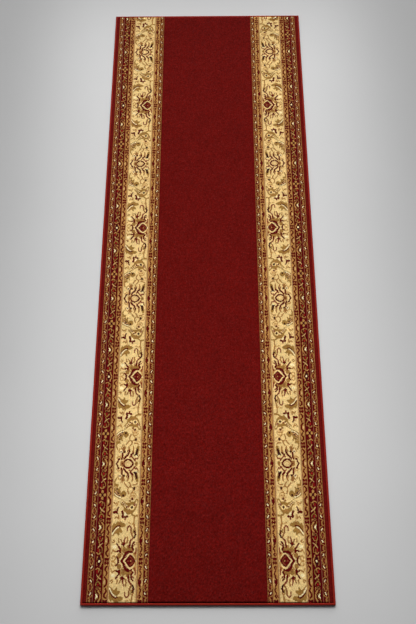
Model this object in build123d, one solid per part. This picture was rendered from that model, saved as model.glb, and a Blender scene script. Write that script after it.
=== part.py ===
"""Runner rug: patterned cut pile on a woven ground cloth, back coated, with a whipped edge all round.

Frame: millimetres, origin at the middle of the underside, +X across the width, +Y along the length, +Z up.
"""

from build123d import *
import os

# Overall size
WIDTH = 670.0
LENGTH = 2000.0

# Layers, from the floor up
COAT_THICKNESS = 0.8
CLOTH_THICKNESS = 1.6
PILE_HEIGHT = 6.0
CLOTH_BOTTOM = COAT_THICKNESS
PILE_BOTTOM = CLOTH_BOTTOM + CLOTH_THICKNESS

# Whipped edge: yarn wrapped round the edge of the ground cloth
WRAP_WIDTH = 6.5
WRAP_HEIGHT = 7.0
WRAP_ROUNDING = 2.8
WRAP_OVER_EDGE = 2.5
CORNER_RADIUS = 4.0

# Seam thread: lies on the cloth in the groove between the whipped edge and the pile
THREAD_WIDTH = 1.4
GROOVE_WIDTH = 2.0
PILE_INSET = WRAP_WIDTH + GROOVE_WIDTH
THREAD_INSET = WRAP_WIDTH + GROOVE_WIDTH / 2
PILE_EDGE_ROUNDING = 1.5

# Pile bands of each side, from the outer edge inwards: name and distance of the inner limit from the rug's edge
SIDE_BANDS = [
    ("pile_edge_band", 17.0),
    ("pile_outer_guard", 33.0),
    ("pile_minor_border", 57.0),
    ("pile_middle_guard", 74.0),
    ("pile_main_border", 147.0),
    ("pile_inner_guard", 164.5),
    ("pile_inner_stripe", 178.0),
]
SIDES = {"left": -1, "right": 1}
ENDS = {"near": -1, "far": 1}

CLOTH_WIDTH = WIDTH - 2 * WRAP_OVER_EDGE
CLOTH_LENGTH = LENGTH - 2 * WRAP_OVER_EDGE
PILE_WIDTH = WIDTH - 2 * PILE_INSET
PILE_LENGTH = LENGTH - 2 * PILE_INSET
FIELD_WIDTH = WIDTH - 2 * SIDE_BANDS[-1][1]


def slab(width, length, bottom, height, x=0.0, y=0.0):
    """A flat block whose underside is at the given height, centred on x and y."""
    return Pos(x, y, bottom) * Box(width, length, height, align=(Align.CENTER, Align.CENTER, Align.MIN))


def back_coat():
    """Latex coat under the cloth. It stops at the whipped edge, flush with its underside."""
    return slab(WIDTH - 2 * WRAP_WIDTH, LENGTH - 2 * WRAP_WIDTH, 0, COAT_THICKNESS)


def ground_cloth():
    """Woven ground that holds the tufts. Its edge is inside the whipped edge."""
    return slab(CLOTH_WIDTH, CLOTH_LENGTH, CLOTH_BOTTOM, CLOTH_THICKNESS)


def pile_envelope():
    """The whole pile as one block, with its top rim rounded where the tufts lean outwards."""
    block = slab(PILE_WIDTH, PILE_LENGTH, PILE_BOTTOM, PILE_HEIGHT)
    return fillet(block.faces().sort_by(Axis.Z)[-1].edges(), PILE_EDGE_ROUNDING)


def pile_band(envelope, x_low, x_high):
    """The strip of the pile between two distances across the rug."""
    strip = slab(x_high - x_low, LENGTH, PILE_BOTTOM, PILE_HEIGHT, x=(x_low + x_high) / 2)
    return envelope & strip


def wrap_section():
    """Section of the whipped edge, with the rug's outer edge at x = 0 and its inner side at x = -WRAP_WIDTH."""
    body = Pos(-WRAP_WIDTH / 2, WRAP_HEIGHT / 2) * RectangleRounded(WRAP_WIDTH, WRAP_HEIGHT, WRAP_ROUNDING)
    foot = Pos(-WRAP_WIDTH, 0) * Rectangle(WRAP_WIDTH / 2, PILE_BOTTOM, align=(Align.MIN, Align.MIN))
    slot_depth = WRAP_WIDTH - WRAP_OVER_EDGE
    slot = Pos(-WRAP_WIDTH, CLOTH_BOTTOM) * Rectangle(slot_depth, CLOTH_THICKNESS, align=(Align.MIN, Align.MIN))
    return body + foot - slot


def whipped_edge(run, half_span):
    """One whipped edge along +Y at distance half_span from the middle, mitred and rounded at its two corners."""
    section = Plane.XZ * (Pos(half_span, 0) * wrap_section())
    bar = Pos(0, run / 2, 0) * extrude(section, amount=run)
    reach = 4 * WRAP_WIDTH
    mitre = make_face(
        Polyline(
            (half_span, -run / 2),
            (half_span, run / 2),
            (half_span - reach, run / 2 - reach),
            (half_span - reach, -run / 2 + reach),
            close=True,
        )
    )
    rounded_plan = RectangleRounded(2 * half_span, run, CORNER_RADIUS)
    return bar & extrude(mitre, amount=WRAP_HEIGHT) & extrude(rounded_plan, amount=WRAP_HEIGHT)


def seam_thread(run, distance):
    """Half-round thread along +Y, lying on the ground cloth at a distance from the middle."""
    half = THREAD_WIDTH / 2
    left, top, right = (distance - half, 0), (distance, half), (distance + half, 0)
    outline = make_face(ThreePointArc(left, top, right) + Line(right, left))
    section = Plane.XZ * (Pos(0, PILE_BOTTOM) * outline)
    return Pos(0, run / 2, 0) * extrude(section, amount=run)


def build_nodes():
    """Every piece of the rug, by node name."""
    nodes = {"latex_back_coat": back_coat(), "ground_cloth": ground_cloth()}
    envelope = pile_envelope()
    nodes["pile_field"] = pile_band(envelope, -FIELD_WIDTH / 2, FIELD_WIDTH / 2)
    for side, sign in SIDES.items():
        outer = PILE_INSET
        for name, inner in SIDE_BANDS:
            limits = sorted(sign * (WIDTH / 2 - distance) for distance in (outer, inner))
            nodes[f"{name}_{side}"] = pile_band(envelope, *limits)
            outer = inner
    edge = whipped_edge(LENGTH, WIDTH / 2)
    thread = seam_thread(LENGTH - 2 * WRAP_WIDTH, WIDTH / 2 - THREAD_INSET)
    for side, sign in SIDES.items():
        turn = Rot(0, 0, 0 if sign > 0 else 180)
        nodes[f"whipped_edge_{side}"] = turn * edge
        nodes[f"seam_thread_{side}"] = turn * thread
    end_edge = whipped_edge(WIDTH, LENGTH / 2)
    end_thread = seam_thread(WIDTH - 2 * PILE_INSET, LENGTH / 2 - THREAD_INSET)
    for end, sign in ENDS.items():
        turn = Rot(0, 0, 90 * sign)
        nodes[f"whipped_edge_{end}_end"] = turn * end_edge
        nodes[f"seam_thread_{end}_end"] = turn * end_thread
    return nodes


os.makedirs("parts", exist_ok=True)
for node, shape in build_nodes().items():
    export_step(shape, f"parts/{node}.step")
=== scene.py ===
"""Looks of the runner rug: tufted pile with its woven pattern, whipped edges, stitches, cloth and back coat.

Frame: metres, origin at the middle of the underside, +X across the width, +Y along the length, +Z up.
Sizes named _MM, and all the sizes of the pattern, are in millimetres. new_piece() turns them into metres.
"""

import math

import bpy
import numpy as np
from mathutils import Matrix, Vector


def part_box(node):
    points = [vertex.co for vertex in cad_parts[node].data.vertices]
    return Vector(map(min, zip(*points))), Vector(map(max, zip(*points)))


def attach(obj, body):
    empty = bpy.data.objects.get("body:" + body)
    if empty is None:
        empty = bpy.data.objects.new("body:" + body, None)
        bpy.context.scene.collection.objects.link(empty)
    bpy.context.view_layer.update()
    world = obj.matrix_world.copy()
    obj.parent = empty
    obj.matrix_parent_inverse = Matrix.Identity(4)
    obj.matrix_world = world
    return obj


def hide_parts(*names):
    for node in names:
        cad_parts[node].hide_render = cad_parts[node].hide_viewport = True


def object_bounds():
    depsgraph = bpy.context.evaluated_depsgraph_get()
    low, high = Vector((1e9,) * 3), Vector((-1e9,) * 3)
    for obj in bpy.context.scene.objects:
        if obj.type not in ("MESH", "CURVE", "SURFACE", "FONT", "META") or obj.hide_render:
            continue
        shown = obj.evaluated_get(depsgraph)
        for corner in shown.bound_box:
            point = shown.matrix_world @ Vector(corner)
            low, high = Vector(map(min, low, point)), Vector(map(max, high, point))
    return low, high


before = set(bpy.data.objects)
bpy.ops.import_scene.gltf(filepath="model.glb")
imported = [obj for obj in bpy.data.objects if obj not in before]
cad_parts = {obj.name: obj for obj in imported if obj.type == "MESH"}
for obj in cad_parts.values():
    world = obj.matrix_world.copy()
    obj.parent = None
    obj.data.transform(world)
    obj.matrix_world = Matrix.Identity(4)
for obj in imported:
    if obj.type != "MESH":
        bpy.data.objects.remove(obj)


def plain_box():
    """The shown object's lowest and highest corner, as plain lists."""
    return [list(corner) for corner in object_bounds()]


cad_box = plain_box()
MM = 0.001
random_numbers = np.random.default_rng(20)


def box_mm(node):
    """A CAD node's lowest and highest corner, in mm."""
    low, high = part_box(node)
    return np.array(low) / MM, np.array(high) / MM


rug_high = np.array(cad_box[1]) / MM
HALF_WIDTH = rug_high[0]
HALF_LENGTH = rug_high[1]


# --- Pattern ---

# u runs inwards from the rug's long edge, and v along the rug from the middle of a palmette, both in mm.
# One half repeat lies between the middles of the two palmettes, and mirrors at both.
HALF_REPEAT = 236.6
OVAL_STEP = HALF_REPEAT / 8
BAR_STEP = HALF_REPEAT * 2 / 5
FLOWER_STEP = HALF_REPEAT * 2 / 3

# Distance of the first palmette from the near end, length of a half repeat there, and half the share by
# which it shortens with each half repeat
REPEAT_START = 110.1
FIRST_HALF_REPEAT = 260.53
SHORTENING = 0.008

# How much wider the motifs of the main border are woven than drawn, all round
MAIN_BORDER_SPREAD = 0.35

# Wool colours, as sRGB
YARNS = {
    "red": (95, 11, 8),
    "dark_red": (93, 15, 11),
    "red_light": (132, 26, 20),
    "maroon": (78, 4, 8),
    "burgundy": (84, 8, 8),
    "russet": (118, 52, 32),
    "taupe": (124, 80, 56),
    "bronze": (134, 88, 46),
    "brass": (150, 104, 54),
    "gold": (170, 124, 66),
    "olive": (144, 106, 50),
    "sand": (194, 154, 98),
    "cream": (219, 188, 127),
    "ivory": (232, 214, 164),
    "umber": (54, 14, 14),
    "mauve": (152, 112, 84),
}
YARN_NAMES = list(YARNS)


def smooth_line(points, closed=False, steps=6):
    """Catmull-Rom curve through a few points."""
    p = np.array(points, float)
    if closed:
        p = np.vstack([p[-1], p, p[0], p[1]])
    else:
        p = np.vstack([2 * p[0] - p[1], p, 2 * p[-1] - p[-2]])
    t = np.linspace(0, 1, steps, endpoint=False)[:, None]
    pieces = []
    for a, b, c, d in zip(p, p[1:], p[2:], p[3:]):
        bend = 2 * a - 5 * b + 4 * c - d
        twist = 3 * b - a - 3 * c + d
        pieces.append(b + ((c - a) * t + bend * t**2 + twist * t**3) / 2)
    if not closed:
        pieces.append(p[-2:-1])
    return np.vstack(pieces)


class Cloth:
    """The yarn of each tuft, drawn motif by motif. A later motif covers an earlier one.

    Strokes and ellipses gain a margin of spread all round, in mm.
    """

    def __init__(self, u, v, ground):
        self.u = u
        self.v = v
        self.spread = 0.0
        self.yarn = np.full(u.shape, YARN_NAMES.index(ground))

    def put(self, inside, yarn):
        self.yarn[inside] = YARN_NAMES.index(yarn)

    def stripe(self, yarn, low, high):
        self.put((self.u >= low) & (self.u < high), yarn)

    def blob(self, yarn, u, v, half_u, half_v=None, turn=0.0):
        """An ellipse, turned by some degrees."""
        half_v = (half_u if half_v is None else half_v) + self.spread
        half_u = half_u + self.spread
        c = math.cos(math.radians(turn))
        s = math.sin(math.radians(turn))
        du = self.u - u
        dv = self.v - v
        self.put(((c * du + s * dv) / half_u) ** 2 + ((c * dv - s * du) / half_v) ** 2 < 1, yarn)

    def stroke(self, yarn, points, width, tip=None):
        """A brush line through a few points, whose width runs from width to tip."""
        line = smooth_line(points)
        tip = (width if tip is None else tip) + 2 * self.spread
        width = width + 2 * self.spread
        low = line.min(0) - width
        high = line.max(0) + width
        near = (self.u > low[0]) & (self.u < high[0]) & (self.v > low[1]) & (self.v < high[1])
        near = np.nonzero(near)[0]
        if not near.size:
            return
        p = np.stack([self.u[near], self.v[near]], 1)[:, None]
        start = line[:-1]
        run = np.diff(line, axis=0)
        along = np.clip(((p - start) * run).sum(2) / (run * run).sum(1), 0, 1)
        gap = np.linalg.norm(p - start - along[..., None] * run, axis=2)
        share = (np.arange(len(start)) + along) / len(start)
        inside = (gap < (width + (tip - width) * share) / 2).any(1)
        self.put(near[inside], yarn)

    def patch(self, yarn, points, rounded=True):
        """A filled outline through a few points."""
        edge = smooth_line(points, closed=True) if rounded else np.array(points, float)
        inside = np.zeros(self.u.shape, bool)
        for (u0, v0), (u1, v1) in zip(edge, np.roll(edge, -1, 0)):
            if v0 != v1:
                crosses = (v0 > self.v) != (v1 > self.v)
                edge_u = u0 + (self.v - v0) * (u1 - u0) / (v1 - v0)
                inside ^= crosses & (self.u < edge_u)
        self.put(inside, yarn)


def mirror(v, step):
    """Distance to the nearest mirror line, for lines one step apart."""
    return np.abs((v + step / 2) % step - step / 2)


def slanting_ovals(cloth, middle, lean):
    """Pale hearts that lean to alternate sides, each between half a diamond and half a zigzag."""
    number = np.floor(cloth.v / OVAL_STEP)
    flip = np.where(number % 2 == 0, 1, -1)
    one = Cloth((cloth.u - middle) * lean, (cloth.v - (number + 0.5) * OVAL_STEP) * flip, "burgundy")
    one.yarn = cloth.yarn  # draws on the same tufts
    # half a diamond with a brown eye
    one.stroke("brass", [(0.6, -5.6), (-2.6, -9), (-4.6, -14.8)], 2.4, 3)
    one.stroke("brass", [(1.4, -6), (4, -9.6), (5.4, -14.8)], 2.4, 3)
    one.blob("russet", 0.6, -14.8, 2.6, 2.6)
    # half a zigzag
    one.stroke("brass", [(-5, 2), (-3.6, 5.4), (3.4, 8.4), (-0.6, 12.6), (2.6, 14.8)], 2.2, 2.8)
    one.stroke("brass", [(5, 1), (5.4, -3)], 1.8)
    one.blob("ivory", -0.4, -0.6, 1.35, 3.8, -30)


def edge_band(cloth):
    """Plain, with a strip of another red inside."""
    cloth.stripe("dark_red", 12.5, 17)


def outer_guard(cloth):
    """Slanting ovals between two thin lines."""
    slanting_ovals(cloth, 25.2, -1)
    cloth.stripe("brass", 17, 19)
    cloth.stripe("taupe", 30.8, 33)


def minor_border(cloth):
    """A vine of curls, arches and crescents between small flowers."""
    along = cloth.v
    cloth.v = mirror(along, FLOWER_STEP)
    # curl with a red eye beside the flower
    cloth.stroke("gold", [(37.5, 19), (40.5, 16.4), (45, 17), (47.6, 20)], 2.4)
    cloth.stroke("olive", [(45.6, 19), (44.6, 26)], 2.2)
    cloth.blob("red_light", 41, 24.4, 2.4, 4.4)
    cloth.stroke("olive", [(51.6, 20), (51.6, 28), (48, 33), (44.4, 38), (42, 44)], 2.3)
    cloth.stroke("sand", [(40, 31), (44.6, 36.6), (52, 41)], 2)
    # arch
    cloth.stroke("olive", [(38.6, 55), (40.4, 49), (45, 46.4), (49.4, 49.4), (51.4, 54)], 2.4)
    cloth.blob("red_light", 44.6, 53, 2.2, 3.4)
    cloth.blob("bronze", 43.6, 61, 4.2, 3.6)
    cloth.blob("umber", 43.6, 60.4, 2.2, 1.8)
    cloth.stroke("gold", [(50.4, 60), (51.4, 65)], 2.4)
    # arrow with a pale heart and a gold crescent
    cloth.stroke("olive", [(38.4, 66), (40.6, 72), (46, 75)], 1.8)
    cloth.stroke("gold", [(46.6, 67.4), (50.8, 72), (52.2, 79)], 3.4)
    cloth.patch("ivory", [(40, 73.6), (43.4, 75.4), (46.4, 79), (46.4, 80), (40.6, 80)], rounded=False)
    cloth.v = along
    # flowers, and the other flower beside each palmette
    cloth.v = np.abs(along - FLOWER_STEP)
    for u, v in ((38.6, 0), (50.8, 0), (44.6, 8)):
        cloth.blob("gold", u, v, 3.4, 4)
    cloth.blob("umber", 44.6, 0, 3, 3.4)
    cloth.v = along
    cloth.blob("umber", 44.6, 5, 3, 5)
    cloth.blob("ivory", 44.6, 0, 2.8, 3)
    cloth.stroke("gold", [(53.4, -2), (52.8, 3), (50, 8), (48.4, 13)], 3.4, 2.6)
    cloth.stroke("brass", [(38.6, 3), (39.4, 10)], 2)
    cloth.stripe("dark_red", 33, 34.4)
    cloth.stripe("burgundy", 54.6, 57)


def dots_and_eye(cloth, dots, dot_size, eye, eye_size):
    """Half of four dots round a brown eye."""
    for u in dots:
        cloth.blob("burgundy", u, 4.7, dot_size, 3.6)
    cloth.stroke("burgundy", [(u, 4.8) for u in dots], 4)
    cloth.blob("russet", eye, 0, eye_size, 2)
    cloth.blob("bronze", eye, 0, 2.2, 2)


def middle_guard(cloth):
    """Dots, zigzags and crescents, outside the main border."""
    along = cloth.v
    cloth.v = mirror(along, BAR_STEP)
    cloth.stripe("brass", 57, 59.4)
    dots_and_eye(cloth, (61.6, 68.2), 3.4, 65, 4.4)
    # zigzag
    cloth.stroke("burgundy", [(67, 11.4), (62.4, 15.6), (62.6, 21), (67, 26), (65, 32.4)], 4.4, 4)
    cloth.stroke("russet", [(69.4, 13.4), (70.4, 18)], 1.6)
    # half of a crescent, with a light dot
    cloth.stroke("burgundy", [(61.6, 36.4), (64.6, 39.4), (67.2, 43.4), (67.6, 47.3)], 4.4, 5)
    cloth.blob("sand", 61, 47.3, 2.6, 4.2)
    cloth.v = along
    cloth.stripe("taupe", 70.4, 72.2)
    cloth.stripe("sand", 72.2, 74)


def inner_guard(cloth):
    """Dots, zigzags and buds, inside the main border."""
    along = cloth.v
    cloth.v = mirror(along, BAR_STEP)
    dots_and_eye(cloth, (153, 159), 3.2, 156, 4.2)
    # zigzag
    zigzag = [(154.4, 11.6), (157.6, 15), (155, 20), (156.6, 25.6), (158.4, 29), (155.4, 33)]
    cloth.stroke("burgundy", zigzag, 3.8, 3.4)
    cloth.stroke("russet", [(150.6, 12.6), (152.6, 17), (155, 20)], 2.6)
    # half of a bud with a light rim
    cloth.stroke("burgundy", [(156.6, 37), (153.2, 42), (152.6, 47.3)], 4.4)
    cloth.stroke("sand", [(159.4, 39), (161.4, 43), (161.6, 47.3)], 2.4)
    cloth.blob("burgundy", 156.4, 47.3, 3.6, 4.8)
    cloth.v = along
    cloth.stripe("taupe", 147, 148.6)
    cloth.stripe("bronze", 162.6, 164.5)


def inner_stripe(cloth):
    """Slanting ovals next to the field."""
    slanting_ovals(cloth, 170.4, 1)
    cloth.stripe("bronze", 176, 177.4)


def palmette_with_heart(cloth):
    """First palmette: a dark heart with a cream line in it, lobes behind it and rays all round."""
    # light and dark grounds round it
    cloth.stroke("gold", [(79, 1.6), (84, 1.6), (88, 6), (85, 11), (80, 10.6), (79, 6)], 2.2)
    cloth.stroke("brass", [(80, 25.6), (85, 22.6), (91, 21.4)], 3)
    cloth.stroke("gold", [(76.6, 17), (79, 22)], 2)
    cloth.blob("ivory", 84, 33, 5, 3.6)
    cloth.patch("gold", [(137, 3), (147, 2), (146, 14), (142, 22), (137, 20), (134, 14)])
    cloth.stroke("ivory", [(140, 0), (149, 0)], 3.4)
    cloth.stroke("russet", [(140.4, 17), (142, 23), (142.4, 30)], 3.8, 3)
    # lobes behind the heart, with a gold line beside them
    cloth.stroke("gold", [(109.6, 13), (103.4, 20), (102.4, 26), (104, 33)], 3)
    cloth.blob("bronze", 98.4, 12.4, 5.8, 5.8)
    cloth.blob("olive", 98.6, 12.6, 3.6, 3.8)
    cloth.blob("olive", 111, 25.4, 6, 7.6)
    cloth.blob("bronze", 111.6, 23.6, 3, 4)
    cloth.blob("olive", 124.4, 27.6, 8.6, 5.4)
    cloth.blob("brass", 132, 25, 3.4, 5)
    cloth.blob("brass", 119.4, 33.6, 2.6, 2.4)
    # rays
    cloth.stroke("burgundy", [(96, 1.6), (94, 6), (90.4, 10.6)], 4.8, 2.6)
    cloth.stroke("burgundy", [(91.6, 22.6), (96.6, 24), (99.6, 21)], 4, 4.4)
    cloth.stroke("burgundy", [(99.6, 20.6), (99.4, 28), (95.4, 33.4), (90.4, 40.4)], 5, 3)
    bud = [(101.6, 38), (105, 36), (108.4, 32.6), (111.6, 37), (114.6, 39), (110.6, 43.4), (105, 43)]
    cloth.patch("burgundy", bud)
    cloth.stroke("russet", [(109.6, 43), (109.8, 48), (112.6, 55.6)], 3.4, 2.4)
    cloth.stroke("bronze", [(104.4, 42), (102.4, 47), (100, 50.6)], 3, 2.4)
    cloth.stroke("brass", [(95.4, 43.6), (94.4, 51)], 3.4, 3)
    cloth.stroke("brass", [(116.4, 42), (118.6, 48), (117.6, 56)], 4.4, 3.4)
    cloth.stroke("russet", [(124, 32), (125, 38), (126.4, 46), (132.4, 52.4)], 5, 3.2)
    cloth.stroke("burgundy", [(123.8, 34), (124.4, 37.6)], 4.4)
    cloth.stroke("burgundy", [(135.6, 25.6), (131.8, 32), (133, 40), (137, 44)], 4.8, 3.2)
    cloth.stroke("russet", [(135, 35), (138.6, 38.6)], 2.6)
    # heart: dark rim, cream line, dark inside with a light curl
    rim = [
        (101, 0), (105.6, 6), (109, 13), (113, 20), (119.6, 24.4), (128, 24),
        (133, 23), (133, 17), (126, 15), (121, -2), (103, -4),
    ]
    heart = [
        (113.6, -3), (113.6, 1), (118.6, 6), (123.6, 11), (127.6, 15),
        (131.6, 13.4), (136, 8.6), (141.4, 1.6), (139, -3),
    ]
    cloth.patch("burgundy", rim)
    cloth.stroke("mauve", [(115.6, 10), (119.4, 14.6)], 1.8)
    cloth.patch("burgundy", heart)
    cloth.stroke("cream", [(109.4, -3), (111, 1), (115.6, 5.4), (120, 10.4), (123.4, 15)], 2.8)
    cloth.stroke("cream", [(123.4, 15), (127.4, 17.6), (132, 16), (137, 11), (140, 7)], 2.2)
    cloth.stroke("russet", [(127.4, 9), (131, 7), (135.4, 2)], 2.2)
    cloth.blob("gold", 129.6, 0, 1.8, 1.8)
    cloth.blob("russet", 121.4, 0, 2.4, 1.6)
    # dots outside
    cloth.stroke("brass", [(77, 45), (80.6, 42.6), (83.4, 46), (80, 48.6)], 2.2)
    cloth.blob("gold", 143.6, 42, 1.6, 2.4)


def leaf_and_bud(cloth):
    """A long lobed leaf on one side of the border, and a stem with a bud on the other."""
    # leaf with two rows of lobes, a pale vein and a dark line beside it
    leaf = [
        (73, 54), (80, 60), (88, 65), (91, 62), (94, 59), (97, 62), (95.6, 67), (101, 66),
        (105, 69), (101, 74), (97, 78), (104, 79), (111.6, 82), (110, 88), (101, 91), (97, 95),
        (90, 93), (84, 88), (79, 90), (75, 80), (73, 70), (78, 66), (72, 58),
    ]
    cloth.patch("olive", leaf)
    cloth.stroke("ivory", [(75.6, 61), (81.4, 70), (87, 76), (93, 79.4)], 2.4, 2)
    cloth.stroke("burgundy", [(74.6, 65), (79.6, 73), (85.4, 79.4), (91, 82.4), (97, 81.4)], 2, 3)
    cloth.blob("bronze", 94.6, 89, 2.2, 2)
    cloth.stroke("brass", [(80, 60), (88, 70), (93, 74)], 1.4)
    # stem, bud and curl
    cloth.stroke("brass", [(143, 108), (135.6, 104), (134.6, 93), (135.6, 80), (139, 70)], 3, 3.4)
    cloth.stroke("gold", [(130, 86), (133, 90)], 2.4)
    cloth.stroke("bronze", [(127.4, 76), (128, 66), (131.6, 58), (136, 54)], 4, 3.4)
    cloth.stroke("russet", [(116.6, 71), (118, 79), (122.4, 81.8), (127.2, 77)], 3, 3.2)
    cloth.stroke("olive", [(132.6, 74), (133.4, 66)], 3)
    cloth.stroke("umber", [(136.4, 70), (139.4, 63), (137, 55.4)], 3.4, 4.4)
    cloth.stroke("burgundy", [(137.6, 66), (138.4, 61)], 2.4)
    # small strokes
    cloth.stroke("gold", [(120.6, 89.6), (124.6, 88)], 2.6)
    cloth.stroke("brass", [(81.6, 100), (85, 103.6), (88, 102), (90.4, 99.6), (92, 108)], 2.8, 2.8)
    cloth.stroke("sand", [(95, 93), (95, 106)], 2.2)


def small_flowers(cloth):
    """Little flowers and tendrils between the leaf and the acanthus."""
    cloth.blob("ivory", 110.4, 111, 3, 3.4)
    cloth.blob("burgundy", 103, 104.6, 3.2, 4.4)
    cloth.blob("russet", 109.6, 99.6, 2.6, 3.4)
    cloth.blob("burgundy", 114.6, 104.6, 3.4, 3)
    cloth.blob("burgundy", 108, 103.6, 3, 2)
    cloth.stroke("burgundy", [(104.4, 108), (103, 112), (101.4, 116.4)], 4, 6)
    cloth.blob("burgundy", 79.6, 115, 3.8, 3)
    cloth.blob("burgundy", 86.6, 113.6, 3.4, 2.6)
    cloth.stroke("burgundy", [(82, 117), (87, 117), (87.6, 122), (90.6, 127.4)], 3.4, 3)
    cloth.blob("sand", 82, 123, 2.4, 3.4)
    cloth.stroke("brass", [(78, 139), (81, 135.6), (84.4, 138)], 3, 2.4)
    cloth.stroke("gold", [(85.6, 132), (88, 137), (90, 142)], 2.4)


def acanthus(cloth):
    """A curled acanthus leaf round a cream disc with a dark eye, and a fan-shaped bud below it."""
    leaf = [
        (97, 147), (95.6, 141), (95.6, 136), (100, 131), (104, 126), (105, 119), (109, 116),
        (114, 110), (122, 110.5), (129, 113), (134, 117), (138, 123), (141.5, 132), (144, 147),
        (139, 148), (133, 141.5), (124, 141), (116, 138), (109, 140), (103, 144),
    ]
    cloth.patch("olive", leaf)
    cloth.stroke("olive", [(126, 112), (131, 108), (137, 106.4), (146, 105.4)], 4, 2.8)
    cloth.stroke("brass", [(113, 117), (120, 119), (128, 116)], 2.2)
    # pale inlay with dark dashes, and a dark eye
    cloth.stroke("cream", [(98, 142), (104, 136.4), (111, 130), (117, 126)], 4.6, 6.4)
    cloth.stroke("olive", [(97, 136), (104, 130.4)], 2.2)
    for u, v in ((101, 139.6), (104.6, 136), (108.4, 132.6)):
        cloth.blob("taupe", u, v, 1.8, 1.5, 40)
    cloth.blob("burgundy", 113, 127.6, 2.2, 2)
    cloth.blob("russet", 117.6, 129, 1.8, 1.8)
    cloth.blob("cream", 127, 126.6, 6.6, 6)
    cloth.patch("umber", [(122.8, 126.6), (127, 121.8), (131.2, 126.6), (127, 131.4)], rounded=False)
    cloth.stroke("cream", [(133, 129), (137, 135), (140, 142)], 4.4, 3)
    cloth.blob("mauve", 136.8, 134.6, 2, 2.4)
    cloth.stroke("russet", [(134.4, 130), (133.4, 135)], 1.8)
    cloth.blob("bronze", 121.6, 143, 3.2, 2.8)
    # bud below it
    for u, v in ((119.6, 151), (124, 157), (131, 157), (136.6, 152.6)):
        cloth.stroke("sand", [(127.4, 148.6), (u, v)], 2, 3.4)
    cloth.stroke("gold", [(122, 155), (127.4, 156.6), (133, 155)], 2.4)
    cloth.stroke("gold", [(121.6, 160), (127, 163), (134, 161.6), (138, 156)], 2)
    cloth.patch("burgundy", [(123.4, 147.6), (127.4, 143.4), (131.4, 147.6), (127.4, 151.8)], rounded=False)


def second_leaf(cloth):
    """A leaf with a striped body and a round lobe beside it."""
    leaf = [
        (75.4, 172), (75.4, 158), (79, 154), (84, 151.4), (89, 149), (96, 148.6),
        (99, 153), (97, 158), (95, 165), (93, 170), (94.6, 177), (90, 176.6),
        (88.6, 172), (86, 178), (88.6, 185), (84, 184), (80, 185), (76, 182),
    ]
    cloth.patch("olive", leaf)
    cloth.blob("olive", 102.6, 160, 7, 7.6)
    cloth.blob("umber", 101.8, 156, 2.2, 2.6)
    # striped body
    cloth.stroke("ivory", [(78, 160.6), (83, 156), (90, 152.6), (95, 152)], 2)
    cloth.stroke("russet", [(80, 163), (86, 158), (93, 154.4)], 1.8)
    cloth.stroke("sand", [(80.4, 166), (87, 160.4), (92.4, 157)], 2.6)
    cloth.stroke("taupe", [(79.4, 169.6), (84.4, 165), (90, 161)], 2)
    cloth.blob("umber", 87.4, 162, 1.8, 1.8)
    cloth.blob("umber", 91.4, 155.8, 1.5, 1.6)
    cloth.stroke("sand", [(79, 173.4), (84, 170)], 2)
    cloth.stroke("umber", [(83.6, 171.6), (86.4, 173)], 2)
    cloth.stroke("sand", [(77.6, 177), (83.4, 177)], 2.4)
    cloth.stroke("olive", [(78, 184), (77.4, 191), (80.4, 200)], 3.6, 2.8)


def sprigs(cloth):
    """Thin sprigs between the second leaf and the second palmette."""
    cloth.patch("sand", [(129, 168), (140, 166), (145, 170), (145, 180), (136, 180), (129, 178), (126, 173)])
    cloth.stroke("cream", [(136, 170), (141, 176)], 3)
    cloth.stroke("brass", [(116.6, 161), (113.8, 168), (115, 175), (120, 177.6), (127, 176)], 3, 2.2)
    cloth.stroke("brass", [(124, 163), (128.6, 168), (130, 172)], 2, 2.4)
    cloth.patch("umber", [(128.4, 174), (131.8, 169.8), (135.2, 173.6), (131.6, 178)])
    cloth.stroke("brass", [(111.4, 178), (107.6, 183), (103.6, 188)], 3.6, 2.6)
    cloth.stroke("brass", [(121.4, 179), (119.6, 184.6), (115.6, 189.6)], 3.6, 2.6)
    cloth.stroke("brass", [(127.6, 183), (134, 182.6), (140, 187)], 3, 2.4)


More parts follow.
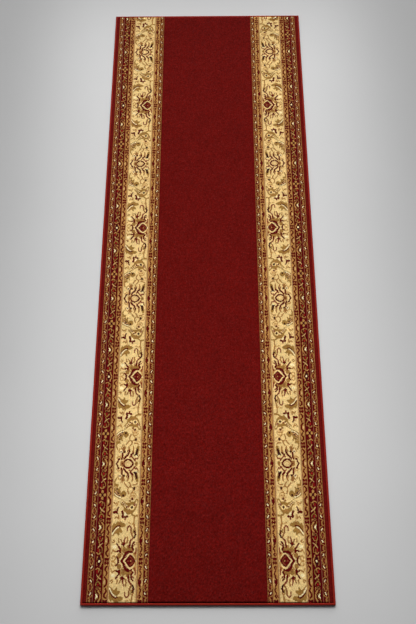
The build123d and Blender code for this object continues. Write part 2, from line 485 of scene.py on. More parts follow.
def palmette_with_eye(cloth):
    """Second palmette: a pale eye in a dark rim, with buds behind it and rays round it."""
    along = cloth.v
    cloth.v = HALF_REPEAT - along
    # leaves and buds behind
    for u, v in ((90.6, 42), (94.4, 48), (98.6, 49), (103, 43)):
        cloth.stroke("brass", [(99, 31), (u, v)], 4.6, 2)
    cloth.stroke("bronze", [(99, 32), (98.6, 42)], 4)
    cloth.blob("umber", 101.4, 31, 2.6, 2.8)
    cloth.stroke("gold", [(87, 38.6), (85, 33), (87, 28.6)], 2.6)
    cloth.blob("ivory", 90.6, 31.4, 3.6, 3.8)
    cloth.blob("taupe", 90.8, 31.2, 2.2, 2.4)
    cloth.stroke("brass", [(114.4, 33), (113.6, 38), (111.4, 44)], 5, 3)
    cloth.stroke("bronze", [(108.4, 31), (110, 35)], 2.6)
    cloth.stroke("brass", [(124.6, 30), (125.4, 38), (124.6, 45)], 5, 3)
    cloth.patch("olive", [(131, 28), (132.6, 38), (136, 45), (141, 47), (142, 38), (140, 28), (136, 22)])
    cloth.stroke("umber", [(133.4, 24.6), (135.4, 31), (136.8, 37)], 6.4, 3.6)
    cloth.stroke("umber", [(129.6, 22.6), (133, 23.4), (137.4, 20.4)], 3)
    cloth.blob("ivory", 135, 19.8, 1.8, 1.4)
    # rays
    cloth.blob("sand", 93, 17, 5, 7)
    cloth.stroke("gold", [(80, 14), (84.6, 18.4), (91, 15.6)], 2.2)
    cloth.stroke("burgundy", [(93, 11), (95.4, 18), (95.8, 27.4)], 3.8, 4)
    cloth.stroke("gold", [(99.6, 9), (99.6, 16)], 2)
    cloth.stroke("burgundy", [(100.8, 13), (104, 18), (111, 24), (114.6, 33.6)], 4.4, 4.6)
    cloth.stroke("burgundy", [(119.6, 23), (126.4, 28)], 5, 4)
    cloth.stroke("russet", [(115.6, 17), (120, 18.8), (124.6, 15), (128.6, 10), (131.4, 7)], 3, 3.6)
    cloth.stroke("russet", [(130, 9), (132.4, 13.4), (136, 11.6), (139.4, 15)], 2.8, 2.4)
    cloth.stroke("brass", [(140.6, 17), (142, 22)], 2)
    # eye
    cloth.blob("brass", 96, 0, 6.4, 7.6)
    cloth.blob("bronze", 98, 0, 4.4, 5)
    cloth.blob("burgundy", 96.4, 0, 1.9, 1.9)
    cloth.stroke("burgundy", [(101, 5), (105, 9.4), (111, 11), (117, 9.4), (122.4, 5.6), (126, 0)], 4.2, 4.6)
    cloth.blob("sand", 111.6, 0, 8, 6)
    cloth.blob("cream", 112.6, 0, 5, 4)
    cloth.blob("olive", 135, 0, 4.4, 5)
    cloth.blob("bronze", 135, 0, 2, 2.4)
    # dark curl outside
    cloth.blob("burgundy", 85.8, 11.4, 3, 2.6)
    cloth.stroke("burgundy", [(84, 9.6), (82.4, 5), (79, 0)], 3, 3.6)
    cloth.v = along


def main_border(cloth):
    """Palmettes, leaves and flowers on a cream ground, with a thin line along each side."""
    cloth.spread = MAIN_BORDER_SPREAD
    palmette_with_heart(cloth)
    leaf_and_bud(cloth)
    small_flowers(cloth)
    acanthus(cloth)
    second_leaf(cloth)
    sprigs(cloth)
    palmette_with_eye(cloth)
    cloth.stripe("sand", 74, 75)
    cloth.stripe("sand", 144.6, 147)


# Each side band: its material slot, its ground yarn and what is drawn on it
BANDS = {
    "pile_edge_band": ("edge_band_pile", "red", edge_band),
    "pile_outer_guard": ("guard_pile", "burgundy", outer_guard),
    "pile_minor_border": ("minor_border_pile", "maroon", minor_border),
    "pile_middle_guard": ("guard_pile", "gold", middle_guard),
    "pile_main_border": ("main_border_pile", "cream", main_border),
    "pile_inner_guard": ("guard_pile", "gold", inner_guard),
    "pile_inner_stripe": ("stripe_pile", "burgundy", inner_stripe),
}


def pattern_place(x, y):
    """Pattern distances u and v of points on the rug. The repeat shortens a little towards the far end."""
    u = HALF_WIDTH - np.abs(x)
    share = (y + HALF_LENGTH - REPEAT_START) / FIRST_HALF_REPEAT
    halves = (1 - np.sqrt(1 - 4 * SHORTENING * share)) / (2 * SHORTENING)
    return u, mirror(halves * HALF_REPEAT, 2 * HALF_REPEAT)


# --- Materials ---

# Colours of all that isn't pile, as sRGB
# The edge valley colour is painted shade: the whipped edge is darker between its turns.
EDGE_VALLEY_PAINTED_SHADE = (88, 14, 10)
EDGE_RIDGE = (156, 40, 27)
# The seam colours are the thread's red made lighter: painted light in the shaded groove.
SEAM_DARK = (98, 14, 10)
SEAM_LIGHT = (156, 30, 21)
GROUND_STAINED = (150, 112, 80)
GROUND_CLEAN = (176, 144, 104)
# The dyed rim colour is lighter than the dye alone: painted light in the shaded groove.
GROUND_DYED_AND_LIT = (128, 22, 15)
COAT_DARK = (186, 174, 150)
COAT_LIGHT = (214, 206, 188)
FLOOR_DARK = (202, 202, 202)
FLOOR_LIGHT = (206, 206, 206)

# How much lighter and darker clumps of a few tufts are
FIELD_CLUMPING = 0.4
BORDER_CLUMPING = 0.24

# Pitches of the ground's yarns, and of the ribs that show in its coat, in metres
WARP_PITCH = 0.0021
WEFT_PITCH = 0.0026
WARP_RIB_PITCH = 0.0042
WEFT_RIB_PITCH = 0.0052


def linear(srgb):
    """Linear colour of an sRGB one, each channel from 0 to 255."""
    c = np.array(srgb, float) / 255
    return np.where(c <= 0.04045, c / 12.92, ((c + 0.055) / 1.055) ** 2.4)


class Shader:
    """A Principled material whose colour and bump come from a few nodes."""

    def __init__(self, name, roughness, specular):
        self.material = bpy.data.materials.new(name)
        self.material.use_nodes = True
        self.tree = self.material.node_tree
        self.surface = self.tree.nodes["Principled BSDF"]
        self.surface.inputs["Roughness"].default_value = roughness
        self.surface.inputs["Specular IOR Level"].default_value = specular
        self.where = self.tree.nodes.new("ShaderNodeTexCoord").outputs["Object"]

    def link(self, source, target):
        self.tree.links.new(source, target)

    def attribute(self, name, output):
        """A value that the mesh stores for each face or point."""
        node = self.tree.nodes.new("ShaderNodeAttribute")
        node.attribute_name = name
        return node.outputs[output]

    def noise(self, scale, detail):
        """Noise from 0 to 1 in object space. Scale is in features per metre."""
        node = self.tree.nodes.new("ShaderNodeTexNoise")
        node.inputs["Scale"].default_value = scale
        node.inputs["Detail"].default_value = detail
        self.link(self.where, node.inputs["Vector"])
        return node.outputs["Fac"]

    def waves(self, direction, pitch, distortion):
        """Sine ridges across one axis, with a pitch in metres."""
        node = self.tree.nodes.new("ShaderNodeTexWave")
        node.bands_direction = direction
        node.inputs["Scale"].default_value = math.tau / pitch / 20
        node.inputs["Distortion"].default_value = distortion
        self.link(self.where, node.inputs["Vector"])
        return node.outputs["Fac"]

    def spread(self, value, low, high, value_low=0.0, value_high=1.0):
        """Maps a value range to another range."""
        node = self.tree.nodes.new("ShaderNodeMapRange")
        node.clamp = False
        node.inputs["From Min"].default_value = value_low
        node.inputs["From Max"].default_value = value_high
        node.inputs["To Min"].default_value = low
        node.inputs["To Max"].default_value = high
        self.link(value, node.inputs["Value"])
        return node.outputs["Result"]

    def math(self, operation, first, second):
        """Arithmetic on two numbers or outputs of nodes."""
        node = self.tree.nodes.new("ShaderNodeMath")
        node.operation = operation
        for socket, value in zip(node.inputs, (first, second)):
            if isinstance(value, (int, float)):
                socket.default_value = value
            else:
                self.link(value, socket)
        return node.outputs["Value"]

    def product(self, *factors):
        """All the factors multiplied."""
        result = factors[0]
        for factor in factors[1:]:
            result = self.math("MULTIPLY", result, factor)
        return result

    def times(self, colour, factor):
        """A colour made lighter or darker by a factor."""
        node = self.tree.nodes.new("ShaderNodeVectorMath")
        node.operation = "SCALE"
        self.link(colour, node.inputs[0])
        self.link(factor, node.inputs["Scale"])
        return node.outputs["Vector"]

    def blend(self, factor, first, second):
        """A colour between two others, each an sRGB colour or the output of a node."""
        node = self.tree.nodes.new("ShaderNodeMix")
        node.data_type = "RGBA"
        for socket, colour in ((node.inputs["A"], first), (node.inputs["B"], second)):
            if isinstance(colour, tuple):
                socket.default_value = (*linear(colour), 1)
            else:
                self.link(colour, socket)
        self.link(factor, node.inputs["Factor"])
        return node.outputs["Result"]

    def finish(self, colour, height, depth):
        """Links the colour, and the bump of a height field whose depth is in metres."""
        bump = self.tree.nodes.new("ShaderNodeBump")
        bump.inputs["Strength"].default_value = 1.0
        bump.inputs["Distance"].default_value = depth
        self.link(height, bump.inputs["Height"])
        self.link(bump.outputs["Normal"], self.surface.inputs["Normal"])
        self.link(colour, self.surface.inputs["Base Color"])
        return self.material


def pile_wool(name, clumping):
    """Cut pile: the yarn colour and shade of each tuft, soft blotches, clumps of a few tufts, and fibres."""
    s = Shader(name, roughness=0.97, specular=0.02)
    tuft = s.spread(s.attribute("shade", "Fac"), 0.7, 1.3, -1, 1)
    blotches = s.spread(s.noise(16, 3), 0.84, 1.16)
    clumps = s.spread(s.noise(200, 2), 1 - clumping, 1 + clumping)
    fibres = s.noise(1400, 2)
    factor = s.product(tuft, blotches, clumps, s.spread(fibres, 0.8, 1.2))
    return s.finish(s.times(s.attribute("yarn_colour", "Color"), factor), fibres, 0.0004)


def edge_yarn():
    """Twisted yarn of the whipped edge: painted shade between the turns, with fine fibres and faint patches.
    """
    s = Shader("edge_yarn", roughness=0.85, specular=0.08)
    # painted shade: the yarn darkens from its ridge colour towards the valleys between the turns
    colour = s.blend(s.attribute("ridge", "Fac"), EDGE_VALLEY_PAINTED_SHADE, EDGE_RIDGE)
    fibres = s.noise(1100, 3)
    patches = s.spread(s.noise(60, 2), 0.86, 1.14)
    factor = s.product(s.spread(fibres, 0.82, 1.18), patches)
    return s.finish(s.times(colour, factor), fibres, 0.0003)


def seam_yarn():
    """Sewing thread: two shades of its plies, both made lighter as painted light in the shaded groove, and a
    slight gloss.
    """
    s = Shader("seam_yarn", roughness=0.75, specular=0.12)
    plies = s.noise(1600, 2)
    return s.finish(s.blend(plies, SEAM_DARK, SEAM_LIGHT), plies, 0.0002)


def woven_ground():
    """Plain weave of jute and cotton: warp and weft ridges that cross, dyed red along the outer edge in a red
    made lighter as painted light in the shaded groove.
    """
    s = Shader("woven_ground", roughness=0.9, specular=0.1)
    height = s.math("MAXIMUM", s.waves("X", WARP_PITCH, 0.6), s.waves("Y", WEFT_PITCH, 0.6))
    fibres = s.noise(900, 3)
    # painted shade: the hollows between warp and weft are darker
    factor = s.product(s.spread(height, 0.6, 1.05), s.spread(fibres, 0.8, 1.2))
    inner = s.blend(s.noise(90, 3), GROUND_STAINED, GROUND_CLEAN)
    # the rim's dyed red, lightened as painted light in the shaded groove
    dyed = s.math("MULTIPLY", s.attribute("near_rim", "Fac"), 3.0)
    return s.finish(s.times(s.blend(dyed, inner, GROUND_DYED_AND_LIT), factor), height, 0.0005)


def latex_coat():
    """Thin latex: matte and slightly patchy, with the weave of the ground showing through as fine ribs."""
    s = Shader("latex_coat", roughness=0.75, specular=0.3)
    ribs = s.math("MAXIMUM", s.waves("X", WARP_RIB_PITCH, 0.8), s.waves("Y", WEFT_RIB_PITCH, 0.8))
    patches = s.noise(25, 4)
    # painted shade: the hollows between the ribs are darker
    factor = s.product(s.spread(ribs, 0.82, 1.04), s.spread(s.noise(700, 3), 0.9, 1.1))
    height = s.math("ADD", ribs, s.noise(350, 3))
    return s.finish(s.times(s.blend(patches, COAT_DARK, COAT_LIGHT), factor), height, 0.0004)


def floor_paint():
    """Pale grey studio floor, very slightly mottled."""
    s = Shader("floor_paint", roughness=0.85, specular=0.1)
    mottle = s.noise(4, 3)
    return s.finish(s.blend(mottle, FLOOR_DARK, FLOOR_LIGHT), mottle, 0.0001)


# --- Meshes ---

def new_piece(name, vertices_mm, faces, material):
    """A mesh object in the place of the CAD node of that name, riding on the rug's one body."""
    mesh = bpy.data.meshes.new(name)
    mesh.from_pydata((np.asarray(vertices_mm) * MM).tolist(), [], faces)
    mesh.materials.append(material)
    mesh.shade_smooth()
    piece = bpy.data.objects.new(name, mesh)
    bpy.context.collection.objects.link(piece)
    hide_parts(name)
    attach(piece, "root")
    return piece


def add_attribute(piece, name, kind, domain, values):
    """Stores one value for each face or point of a piece, for its material to read."""
    attribute = piece.data.attributes.new(name, kind, domain)
    key = "color" if kind == "FLOAT_COLOR" else "value"
    attribute.data.foreach_set(key, np.asarray(values, np.float32).ravel())


def jitter(shape, amount):
    """Random offsets up to an amount either way."""
    return random_numbers.uniform(-amount, amount, shape)


def grid_lines(low, high, pitch):
    """Evenly spaced places from low to high, about a pitch apart."""
    return np.linspace(low, high, max(2, round((high - low) / pitch) + 1))


def ring_of(number):
    """Numbers along the rim of a grid, anticlockwise from its lower left corner."""
    return np.concatenate([number[0, :-1], number[:-1, -1], number[-1, :0:-1], number[:0:-1, 0]])


def tube_quads(number):
    """Quads between the rings of a tube. A row of numbers is one ring."""
    beside = np.roll(number, -1, 1)
    return np.stack([number[:-1], number[1:], beside[1:], beside[:-1]], 2).reshape(-1, 4)


def end_caps(number):
    """The two faces that close a tube."""
    return [number[0].tolist(), number[-1, ::-1].tolist()]


# --- Pile ---

TUFT_CELL_MM = (1.6, 2.0)
FIELD_CELL_MM = (2.3, 2.8)
CORNER_UNEVENNESS = 0.2
TIP_UNEVENNESS = 0.15
TUFT_DEPTH_MM = 1.1
TUFT_LEAN_MM = 0.25
TIP_DEPTH_MM = 0.15
LINT = 0.002
SHADE_SPREAD = 0.45
RIM_REACH_MM = 3.0
RIM_DROP_MM = 0.8
RIM_SPLAY_MM = 1.7
PILE_LOW = box_mm("pile_edge_band_left")[0]
PILE_HIGH = box_mm("pile_edge_band_right")[1]


def rim_drop(x, y):
    """How far the pile's top sinks near its outer rim, as a quarter round."""
    gap = np.minimum.reduce([x - PILE_LOW[0], PILE_HIGH[0] - x, y - PILE_LOW[1], PILE_HIGH[1] - y])
    share = 1 - np.clip(gap / RIM_REACH_MM, 0, 1)
    return RIM_DROP_MM * (1 - np.sqrt(1 - share**2))


def splayed(place, limit):
    """Tufts near the outer rim lean outwards over the groove."""
    share = np.clip(1 - (limit - np.abs(place)) / RIM_REACH_MM, 0, 1)
    return place + np.sign(place) * RIM_SPLAY_MM * share**2


def tuft_corners(xs, ys, cell, top, centred):
    """Uneven lattice of the corners between tufts. Its outermost lines stay on the band's limits."""
    x, y = np.meshgrid(xs, ys)
    inner = np.zeros(x.shape, bool)
    inner[1:-1, 1:-1] = True
    x = x + inner * jitter(x.shape, CORNER_UNEVENNESS * cell[0])
    y = y + inner * jitter(y.shape, CORNER_UNEVENNESS * cell[1])
    if centred:
        sunk = TUFT_DEPTH_MM * (0.85 + jitter(x.shape, 0.15))
        rim_sunk = TUFT_DEPTH_MM * 0.8
    else:
        sunk = TUFT_DEPTH_MM * (0.5 + jitter(x.shape, 0.5))
        rim_sunk = TUFT_DEPTH_MM * 0.3
    z = top - np.where(inner, sunk, rim_sunk) - rim_drop(x, y)
    return np.stack([x, y, z], 2).reshape(-1, 3)


def tuft_tips(x, y, cell, top):
    """Raised middles of tufts, which lean a little towards the far end."""
    lean = TUFT_LEAN_MM * (1 + jitter(x.shape, 1))
    tip_x = x + jitter(x.shape, TIP_UNEVENNESS * cell[0])
    tip_y = y + lean
    tip_z = top - TIP_DEPTH_MM + jitter(x.shape, TIP_DEPTH_MM) - rim_drop(tip_x, tip_y)
    return np.stack([tip_x, tip_y, tip_z], 1)


def tuft_faces(number, tips):
    """Four triangles round the tip of each tuft, or two between its corners if it has no tip."""
    a, b, c, d = (n.ravel() for n in (number[:-1, :-1], number[:-1, 1:], number[1:, 1:], number[1:, :-1]))
    if tips is None:
        return np.stack([a, b, c, a, c, d], 1).reshape(-1, 3)
    return np.stack([a, b, tips, b, c, tips, c, d, tips, d, a, tips], 1).reshape(-1, 3)


def hidden_faces(ring, below, columns, rows):
    """Walls from the rim of the top down to the ground cloth, and an underside of one strip for each row."""
    walls = np.stack([ring, below, np.roll(below, -1), np.roll(ring, -1)], 1)
    right = below[columns : columns + rows + 1]
    left = np.roll(below, -(2 * columns + rows))[: rows + 1][::-1]
    near_side = below[: columns + 1][::-1]
    far_side = below[columns + rows : 2 * columns + rows + 1][::-1]
    strips = [[*near_side, left[1], right[1]]]
    strips += [[right[i], left[i], left[i + 1], right[i + 1]] for i in range(1, rows - 1)]
    strips += [[*far_side, right[-2], left[-2]]]
    return walls.tolist() + strips


def add_yarn(piece, x, y, draw, ground, faces_per_tuft):
    """Stores the yarn colour and the shade of each tuft, and the ground yarn on the hidden faces at the
    highest shade: painted light on the walls where shade falls.
    """
    u, v = pattern_place(x, y)
    cloth = Cloth(u, v, ground)
    if draw:
        draw(cloth)
    colours = np.array([linear(YARNS[yarn]) for yarn in YARN_NAMES])
    lint = LINT * np.abs(random_numbers.normal(0, 1, len(u)))
    tuft_colour = np.c_[colours[cloth.yarn] + lint[:, None], np.ones(len(u))]
    shade = np.clip(random_numbers.normal(0, SHADE_SPREAD, len(u)), -1, 1)
    hidden = len(piece.data.polygons) - faces_per_tuft * len(u)
    hidden_colour = np.tile([*linear(YARNS[ground]), 1], (hidden, 1))
    colour = np.vstack([np.repeat(tuft_colour, faces_per_tuft, 0), hidden_colour])
    add_attribute(piece, "yarn_colour", "FLOAT_COLOR", "FACE", colour)
    # hidden faces, the walls among them, take the highest shade, 1.3 times lighter: painted light where shade
    # falls on the walls
    shade = np.r_[np.repeat(shade, faces_per_tuft), np.ones(hidden)]
    add_attribute(piece, "shade", "FLOAT", "FACE", shade)


def pile_piece(node, material, cell, draw, ground, centred):
    """The pile of one band, closed underneath. Each cell is one tuft.

    A centred tuft has a raised middle and four lower corners. Otherwise a cell is two triangles between
    corners of uneven height, which keeps the wide field within the export's size.
    """
    low, high = box_mm(node)
    xs = grid_lines(low[0], high[0], cell[0])
    ys = grid_lines(low[1], high[1], cell[1])
    columns, rows = len(xs) - 1, len(ys) - 1
    vertices = tuft_corners(xs, ys, cell, high[2], centred)
    number = np.arange(len(vertices)).reshape(rows + 1, columns + 1)
    middles = np.meshgrid((xs[:-1] + xs[1:]) / 2, (ys[:-1] + ys[1:]) / 2)
    tuft_x, tuft_y = (grid.ravel() for grid in middles)
    tips = None
    if centred:
        tips = len(vertices) + np.arange(len(tuft_x))
        vertices = np.vstack([vertices, tuft_tips(tuft_x, tuft_y, cell, high[2])])
    top = tuft_faces(number, tips)

    # the walls stand straight on the cloth, and the top splays out over the groove
    ring = ring_of(number)
    foot = vertices[ring] * (1, 1, 0) + (0, 0, low[2])
    vertices[:, 0] = splayed(vertices[:, 0], PILE_HIGH[0])
    vertices[:, 1] = splayed(vertices[:, 1], PILE_HIGH[1])
    below = len(vertices) + np.arange(len(ring))
    faces = top.tolist() + hidden_faces(ring, below, columns, rows)
    piece = new_piece(node, np.vstack([vertices, foot]), faces, material)
    add_yarn(piece, tuft_x, tuft_y, draw, ground, len(top) // len(tuft_x))
    return piece


# --- Whipped edge ---

WRAP_PITCH_MM = 2.6
STEPS_PER_WRAP = 4
WRAP_RELIEF_MM = 0.45
WRAP_UNEVENNESS = 0.12
WRAP_SLANT = 0.5
CORNER_FAN_MM = 30.0
CORNER_FAN_START = 0.25
WRAP_OUTER_ROUNDING_MM = 2.9
WRAP_INNER_ROUNDING_MM = 1.5
WRAP_FOOT_ROUNDING_MM = 1.2
CORNER_RADIUS_MM = 4.0
SECTION_POINTS = 18


def direction_of(low, high):
    """The axis that a long piece runs along, and the other level one."""
    along = 0 if high[0] - low[0] > high[1] - low[1] else 1
    return along, 1 - along


def edge_section(width, height):
    """Rounded rectangle as offsets from its middle, with the outward direction and angle of each point."""
    angle = np.linspace(0, math.tau, SECTION_POINTS, endpoint=False)
    out = np.stack([np.cos(angle), np.sin(angle)], 1)
    radius = np.where(out[:, :1] < 0, WRAP_INNER_ROUNDING_MM, WRAP_OUTER_ROUNDING_MM)
    radius = np.where(out[:, 1:] > -0.01, radius, WRAP_FOOT_ROUNDING_MM)
    half = np.array([width, height]) / 2 - radius
    reach = np.minimum(1, np.abs(out) * 1.6)
    return np.sign(out) * half * reach + out * radius, out, angle


def wrap_ridges(place, run, turns, angle):
    """How high the yarn stands, from 0 between two turns to 1 on a turn.

    The turns slant along the edge, but are square to it at the corners, so that they meet at the mitre.
    """
    from_end = run / 2 - np.abs(place)
    slant = WRAP_SLANT * angle / math.tau * np.clip(from_end / CORNER_FAN_MM - CORNER_FAN_START, 0, 1)
    return np.abs(np.sin(math.pi * (place * turns / run + slant))) ** 0.7


def round_corner(inwards, from_end):
    """Pulls the points beyond a corner's arc in to the arc."""
    in_corner = (inwards < CORNER_RADIUS_MM) & (from_end < CORNER_RADIUS_MM)
    reach = np.hypot(CORNER_RADIUS_MM - inwards, CORNER_RADIUS_MM - from_end)
    beyond = in_corner & (reach > CORNER_RADIUS_MM)
    pull = np.where(beyond, CORNER_RADIUS_MM / np.maximum(reach, 0.01), 1)
    inwards = CORNER_RADIUS_MM - (CORNER_RADIUS_MM - inwards) * pull
    from_end = CORNER_RADIUS_MM - (CORNER_RADIUS_MM - from_end) * pull
    return inwards, from_end


def whipped_edge(node, material):
    """Yarn wound round the edge of the cloth, one ridge for each turn, mitred and rounded at both corners."""
    low, high = box_mm(node)
    along, across = direction_of(low, high)
    run = 2 * rug_high[along]
    width, height = high[across] - low[across], high[2] - low[2]
    side = 1 if low[across] > 0 else -1
    offsets, out, angle = edge_section(width, height)
    turns = 2 * round(run / WRAP_PITCH_MM / 2)
    stations = np.linspace(-run / 2, run / 2, turns * STEPS_PER_WRAP + 1)[:, None]

    # place along the run, held behind the mitre, and the relief of the turn at that place
    mitre = run / 2 - (width / 2 - offsets[:, 0])
    place = np.clip(stations, -mitre, mitre)
    turn_middles = np.linspace(-run / 2, run / 2, turns)
    uneven = 1 + WRAP_UNEVENNESS * np.interp(place, turn_middles, random_numbers.normal(0, 1, turns))
    ridge = wrap_ridges(place, run, turns, angle)
    shape = offsets - out * (WRAP_RELIEF_MM * (1 - ridge) * uneven)[..., None]

    # distances inwards from the rug's edge and from the end of the run
    inwards = width / 2 - shape[..., 0]
    from_end = np.where(np.abs(stations) >= mitre, inwards, run / 2 - np.abs(place))
    inwards, from_end = round_corner(inwards, from_end)

    vertices = np.zeros((*inwards.shape, 3))
    vertices[..., across] = side * (max(abs(low[across]), abs(high[across])) - inwards)
    vertices[..., along] = np.sign(place) * (run / 2 - from_end)
    vertices[..., 2] = height / 2 + shape[..., 1]
    number = np.arange(inwards.size).reshape(inwards.shape)
    faces = tube_quads(number).tolist() + end_caps(number)
    if (side > 0) == (along == 0):
        faces = [face[::-1] for face in faces]
    piece = new_piece(node, vertices.reshape(-1, 3), faces, material)
    for cap in piece.data.polygons[-2:]:
        cap.use_smooth = False
    # the ridge height also sets the painted shade between the turns
    add_attribute(piece, "ridge", "FLOAT", "POINT", ridge)
    return piece


# --- Seam thread ---

STITCH_PITCH_MM = 4.2
STITCH_LENGTH_MM = 3.6
STITCH_RINGS = 7
STITCH_SIDES = 8
STITCH_SLANT_MM = 0.12
STITCH_DRIFT_MM = 0.08


def stitch_rings(width, height):
    """Rings of a tapered tube that dips into the cloth at both ends: along, across and up."""
    share = np.linspace(-1, 1, STITCH_RINGS)[:, None]
    angle = np.linspace(0, math.tau, STITCH_SIDES, endpoint=False)[None]
    thick = 0.35 + 0.65 * np.sqrt(np.clip(1 - share**2, 0, 1))
    along = share * STITCH_LENGTH_MM / 2 + 0 * angle
    across = width * 0.42 * thick * np.cos(angle) + share * STITCH_SLANT_MM
    up = height * (thick * 0.5 * (1 + np.sin(angle)) - 0.5 * share**2)
    return np.stack([along, across, up], 2).reshape(-1, 3)


def seam_thread(node, material):
    """A row of separate stitches in the groove, each a short arched bit of thread."""
    low, high = box_mm(node)
    along, across = direction_of(low, high)
    middle = (low + high) / 2
    rings = stitch_rings(high[across] - low[across], high[2] - low[2])
    number = np.arange(len(rings)).reshape(STITCH_RINGS, STITCH_SIDES)
    one_faces = tube_quads(number).tolist() + end_caps(number)
    if along == 0:
        one_faces = [face[::-1] for face in one_faces]

    count = int((high[along] - low[along]) // STITCH_PITCH_MM)
    vertices, faces = [], []
    for k in range(count):
        start = low[along] + (k + 0.5) * (high[along] - low[along]) / count
        lift = random_numbers.uniform(0.9, 1.0)
        drift = random_numbers.uniform(-STITCH_DRIFT_MM, STITCH_DRIFT_MM)
        stitch = np.empty((len(rings), 3))
        stitch[:, along] = start + rings[:, 0]
        stitch[:, across] = middle[across] + drift + rings[:, 1]
        stitch[:, 2] = low[2] + rings[:, 2] * lift
        faces += [[i + k * len(rings) for i in face] for face in one_faces]
        vertices.append(stitch)
    return new_piece(node, np.vstack(vertices), faces, material)


# --- Ground cloth and back coat ---

SHEET_CELL_MM = 12.0
RIM_SHARE = 0.3
COAT_WAVINESS_MM = 0.05
CLOTH_WAVINESS_MM = 0.1


def thin_sheet(node, material, waviness):
    """A thin slab with bevelled rims whose two faces are very slightly uneven."""
    low, high = box_mm(node)
    rim = (high[2] - low[2]) * RIM_SHARE
    xs = np.sort(np.r_[grid_lines(low[0], high[0], SHEET_CELL_MM), low[0] + rim, high[0] - rim])
    ys = np.sort(np.r_[grid_lines(low[1], high[1], SHEET_CELL_MM), low[1] + rim, high[1] - rim])
    x, y = np.meshgrid(xs, ys)
    at_rim = np.zeros(x.shape, bool)
    at_rim[[0, -1]] = True
    at_rim[:, [0, -1]] = True
    near_rim = np.zeros(x.shape)
    near_rim[[0, 1, -2, -1]] = 1
    near_rim[:, [0, 1, -2, -1]] = 1
    uneven = np.where(at_rim, rim, np.abs(jitter(x.shape, waviness)))
    upper = np.stack([x, y, high[2] - uneven], 2).reshape(-1, 3)
    lower = np.stack([x, y, low[2] + uneven], 2).reshape(-1, 3)

    number = np.arange(len(upper)).reshape(x.shape)
    corners = [number[:-1, :-1], number[:-1, 1:], number[1:, 1:], number[1:, :-1]]
    quads = np.stack(corners, 2).reshape(-1, 4)
    ring = ring_of(number)
    next_ring = np.roll(ring, -1)
    sides = np.stack([ring, ring + len(upper), next_ring + len(upper), next_ring], 1)
    faces = [*quads.tolist(), *(quads[:, ::-1] + len(upper)).tolist(), *sides.tolist()]
    piece = new_piece(node, np.vstack([upper, lower]), faces, material)
    add_attribute(piece, "near_rim", "FLOAT", "POINT", np.tile(near_rim.ravel(), 2))
    return piece


# --- The rug ---

def pieces_on_cloth():
    """The back coat, and the pile, whipped edges and seams that the ground cloth carries."""
    field_wool = pile_wool("field_wool", FIELD_CLUMPING)
    border_wool = pile_wool("border_wool", BORDER_CLUMPING)
    yarn = edge_yarn()
    thread = seam_yarn()
    pieces = [thin_sheet("latex_back_coat", latex_coat(), COAT_WAVINESS_MM)]
    field = pile_piece("pile_field", field_wool, FIELD_CELL_MM, None, "red", centred=False)
    pieces.append(field)
    for band, (slot, ground, draw) in BANDS.items():
        for side in ("left", "right"):
            node = f"{band}_{side}"
            pieces.append(pile_piece(node, border_wool, TUFT_CELL_MM, draw, ground, centred=True))
    for edge in ("left", "right", "near_end", "far_end"):
        pieces.append(whipped_edge(f"whipped_edge_{edge}", yarn))
        pieces.append(seam_thread(f"seam_thread_{edge}", thread))
    return pieces


on_cloth = pieces_on_cloth()
ground_cloth = thin_sheet("ground_cloth", woven_ground(), CLOTH_WAVINESS_MM)


# --- Stage, lights and camera ---

FLOOR_SIZE = 40.0
FLOOR_GAP = 0.0002
CAMERA_PLACE = (0.0145, -0.9864, 2.0157)
CAMERA_PITCH = 67.945
CAMERA_YAW = 0.913
CAMERA_ROLL = -1.053
CAMERA_LENS = 41.02
CAMERA_SENSOR = 36.0
ROOM_LIGHT = 0.07
KEY_DISTANCE = 5.0
KEY_ELEVATION = 22.0
KEY_SOFTNESS = 80.0
KEY_ENERGY = 4.3
POOL_LIGHT_PLACE = (0, 2.65, 2.2)
POOL_MIDDLE = (0, 0.04, 0)
POOL_WIDTH = 1.12
POOL_LENGTH = 1.38
POOL_SPREAD = 13.0
POOL_POWER = 3.6


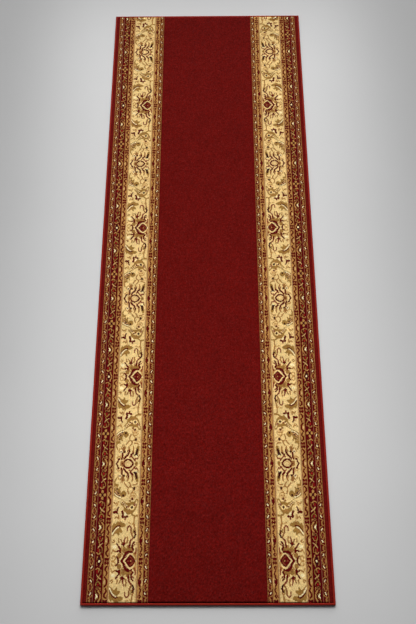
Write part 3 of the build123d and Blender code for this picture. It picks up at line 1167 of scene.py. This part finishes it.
def add_floor():
    """A large plain floor just under the rug."""
    half = FLOOR_SIZE / 2
    corners = [(-half, -half, 0), (half, -half, 0), (half, half, 0), (-half, half, 0)]
    mesh = bpy.data.meshes.new("floor")
    mesh.from_pydata(corners, [], [(0, 1, 2, 3)])
    mesh.materials.append(floor_paint())
    floor = bpy.data.objects.new("floor", mesh)
    floor.location.z = -FLOOR_GAP
    bpy.context.collection.objects.link(floor)


def add_light(name, kind, place, target, energy):
    """A light that faces a target."""
    data = bpy.data.lights.new(name, kind)
    data.energy = energy
    light = bpy.data.objects.new(name, data)
    light.location = place
    light.rotation_mode = "QUATERNION"
    light.rotation_quaternion = (Vector(target) - Vector(place)).to_track_quat("-Z", "Y")
    bpy.context.collection.objects.link(light)
    return data


def add_key_light():
    """Soft light from beyond the far end, which leaves a soft shadow before the near edge."""
    elevation = math.radians(KEY_ELEVATION)
    direction = Vector((0, math.cos(elevation), math.sin(elevation)))
    key = add_light("key", "SUN", direction * KEY_DISTANCE, (0, 0, 0), KEY_ENERGY)
    key.angle = math.radians(KEY_SOFTNESS)


def add_pool_light():
    """Long softbox beyond the far end whose narrow beam makes a pool of light round the rug."""
    box = add_light("pool_light", "AREA", POOL_LIGHT_PLACE, POOL_MIDDLE, POOL_POWER)
    box.shape = "RECTANGLE"
    box.size = POOL_WIDTH
    box.size_y = POOL_LENGTH
    box.spread = math.radians(POOL_SPREAD)


def add_room_light():
    """Faint even light from all round."""
    world = bpy.data.worlds.new("studio")
    world.use_nodes = True
    background = world.node_tree.nodes["Background"]
    background.inputs["Color"].default_value = (1, 1, 1, 1)
    background.inputs["Strength"].default_value = ROOM_LIGHT
    bpy.context.scene.world = world


def add_camera():
    """Stands above the near end and looks down along the rug."""
    data = bpy.data.cameras.new("camera")
    data.lens = CAMERA_LENS
    data.sensor_width = CAMERA_SENSOR
    camera = bpy.data.objects.new("camera", data)
    tilt = Matrix.Rotation(math.radians(90 - CAMERA_PITCH), 4, "X")
    turn = Matrix.Rotation(math.radians(CAMERA_YAW), 4, "Z")
    roll = Matrix.Rotation(math.radians(CAMERA_ROLL), 4, "Z")
    camera.matrix_world = Matrix.Translation(CAMERA_PLACE) @ turn @ tilt @ roll
    bpy.context.collection.objects.link(camera)
    bpy.context.scene.camera = camera


add_floor()
add_room_light()
add_key_light()
add_pool_light()
add_camera()
bpy.context.scene.view_settings.view_transform = "Standard"
